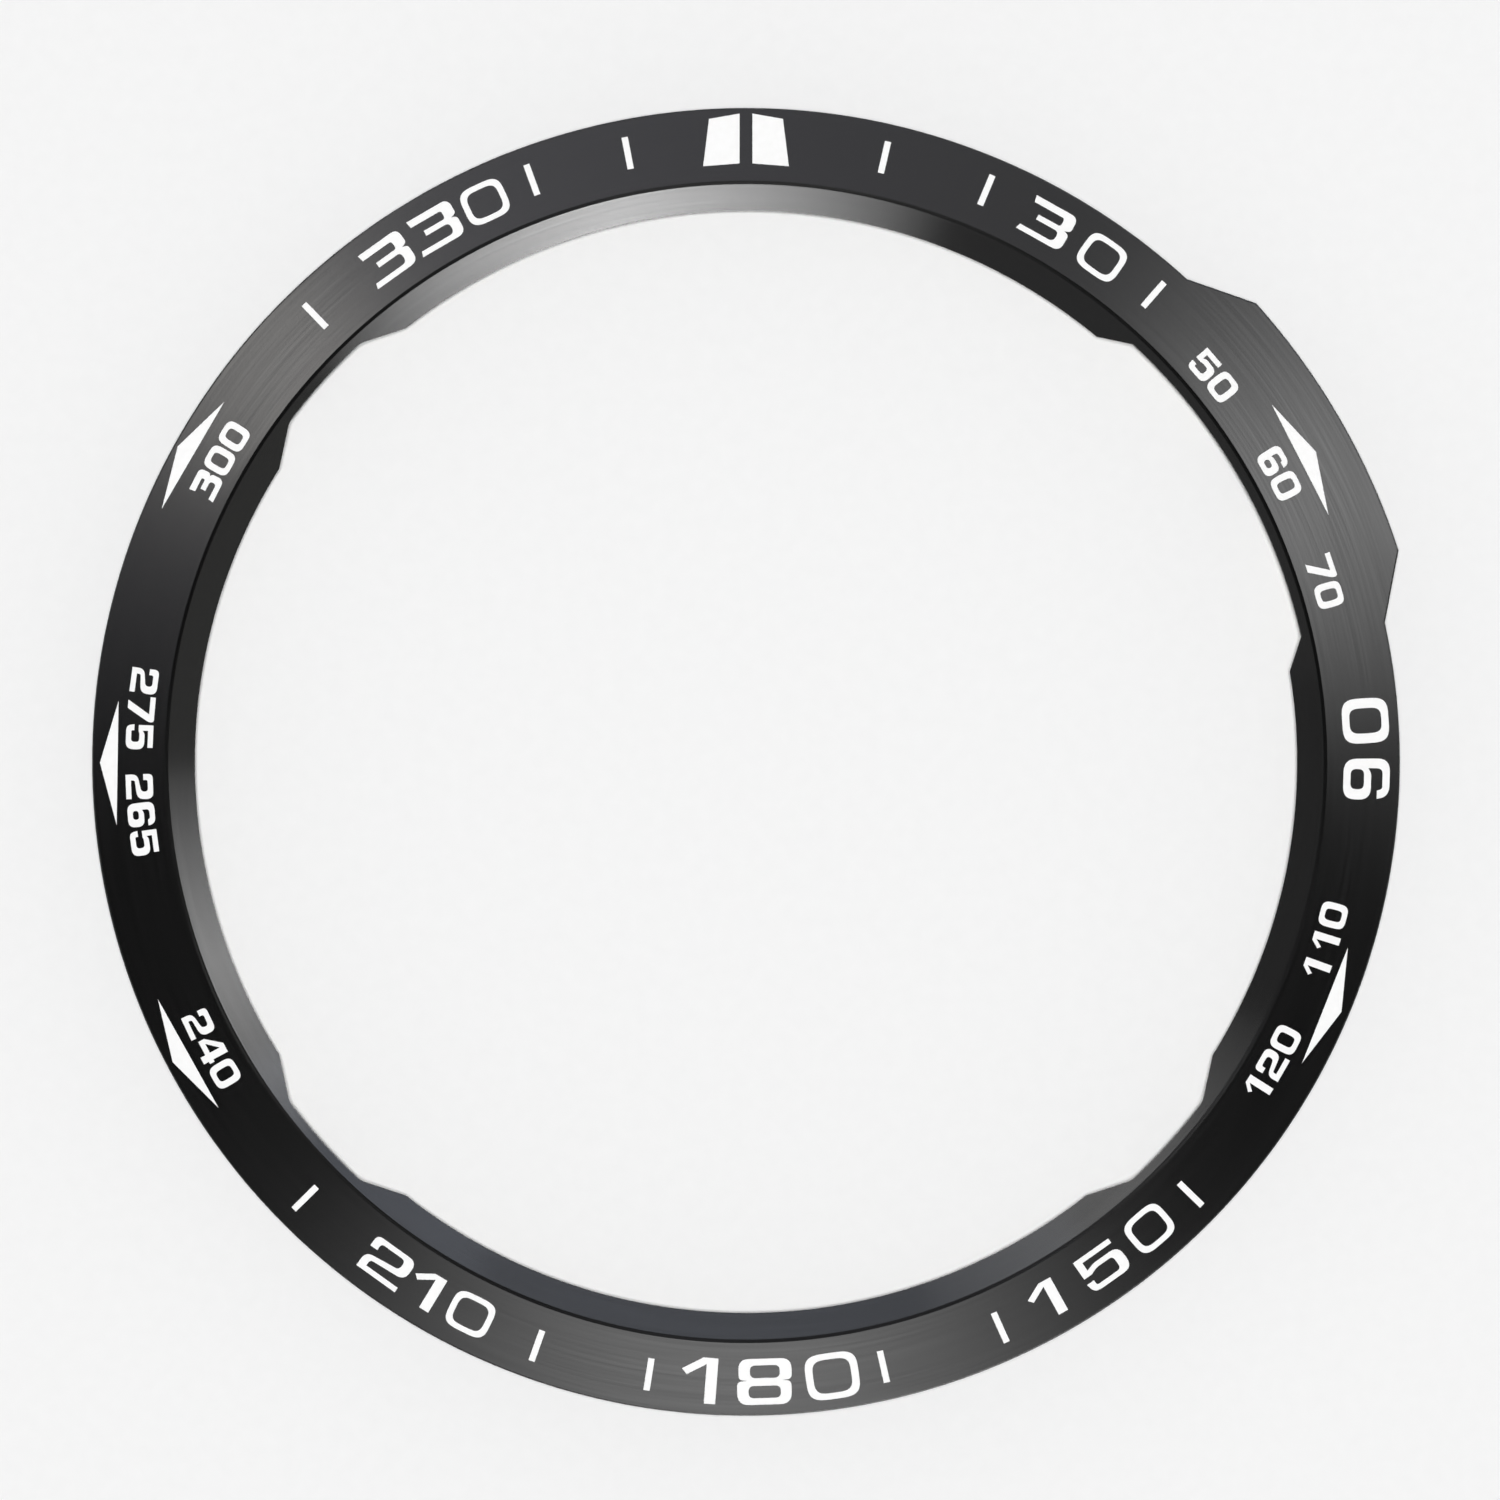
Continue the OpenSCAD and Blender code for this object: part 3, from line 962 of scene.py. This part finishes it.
def add_lamp(name, bearing, elevation, width, height, radiance, spread=180, colour="#FFFFFF"):
    """A rectangular lamp, sized by the angles that it fills when seen from the ring."""
    turn, rise = math.radians(bearing), math.radians(elevation)
    away = Vector(
        (math.sin(turn) * math.cos(rise), math.cos(turn) * math.cos(rise), math.sin(rise))
    )
    data = bpy.data.lights.new(name, "AREA")
    data.shape = "RECTANGLE"
    data.size = 2 * LAMP_DISTANCE * MM * math.tan(math.radians(width / 2))
    data.size_y = 2 * LAMP_DISTANCE * MM * math.tan(math.radians(height / 2))
    data.spread = math.radians(spread)
    # Blender keeps a lamp's watts when its spread is reduced, which would make its middle brighter
    focus = 1 - data.spread / 2 / math.tan(data.spread / 2)
    data.energy = math.pi * radiance * focus * data.size * data.size_y
    data.color = linear(colour)[:3]
    lamp = bpy.data.objects.new(name, data)
    lamp.location = away * LAMP_DISTANCE * MM
    lamp.rotation_euler = (-away).to_track_quat("-Z", "Y").to_euler()
    lamp.visible_camera = False
    scene.collection.objects.link(lamp)
    return lamp


add_lamp("over_right", 64, OVERHEAD, 15.5, 17, 9.8, 15.5)
add_lamp("over_front", 181.5, OVERHEAD, 23, 17, 6.5, 23)
add_lamp("over_left", 310, OVERHEAD, 6, 10, 6.2, colour="#FFFCF6")
add_lamp("over_back", 336, OVERHEAD, 34, 18, 1.86, 44, "#F6F6FF")
add_lamp("over_corner", 30, OVERHEAD, 10, 18, 0.3)
add_lamp("low_front", 166.5, LOW, 68, 8, 24, 68)
add_lamp("low_right", 69, LOW, 40, 8, 10.5, 44)
add_lamp("low_corner", 43, LOW, 30, 8, 1.1, colour="#E6EEFF")
add_lamp("low_back", 12, LOW, 94, 8, 2.45, colour="#E6EEFF")
add_lamp("low_left", 319, LOW, 44, 8, 4.2, 50)
add_lamp("low_side", 112, LOW, 50, 8, 0.4, colour="#FFFFF6")
add_lamp("low_edge", 231, LOW, 60, 8, 0.22)
for lamp in [piece for piece in scene.objects if piece.type == "LIGHT"]:
    lamp.visible_diffuse = False
fill = add_lamp("fill", 0, 90, 6, 6, 255)
fill.visible_glossy = False
print("lamps:", len(bpy.data.lights))

# %% [markdown]
# The sky has no sun and no colour, only a strength that changes with height. It is dark straight
# overhead, as a room is behind a camera, because that is what gives black metal its depth, and it
# falls off towards the horizon, which keeps the ring's edges from shining. A white backdrop for the
# camera alone would look cleaner from very low down, but the metal wouldn't mirror it. So the camera
# and the metal see the same sky, and the pale background comes from the paper.

# %% Sky
SKY_STOPS = [(0, 0.1), (4, 0.2), (10, 0.4), (18, 0.4), (28, 0.18), (45, 0.09), (66, 0.085)]

world = bpy.data.worlds.new("studio")
scene.world = world
world.use_nodes = True
tree = world.node_tree
tree.nodes.clear()
look = add_node(tree, "ShaderNodeTexCoord").outputs["Generated"]
split = add_node(tree, "ShaderNodeSeparateXYZ", {0: look})
ramp = add_node(tree, "ShaderNodeValToRGB", {"Fac": split.outputs[2]})
stops = ramp.color_ramp.elements
stops.remove(stops[1])
for i, (elevation, grey) in enumerate(SKY_STOPS):
    height = math.sin(math.radians(elevation))
    stop = stops[0] if i == 0 else stops.new(height)
    stop.position = height
    stop.color = (grey, grey, grey, 1)
sky = add_node(tree, "ShaderNodeBackground", {"Color": ramp.outputs[0], "Strength": 1})
output = add_node(tree, "ShaderNodeOutputWorld", {0: sky.outputs[0]})
print("sky stops:", len(stops))
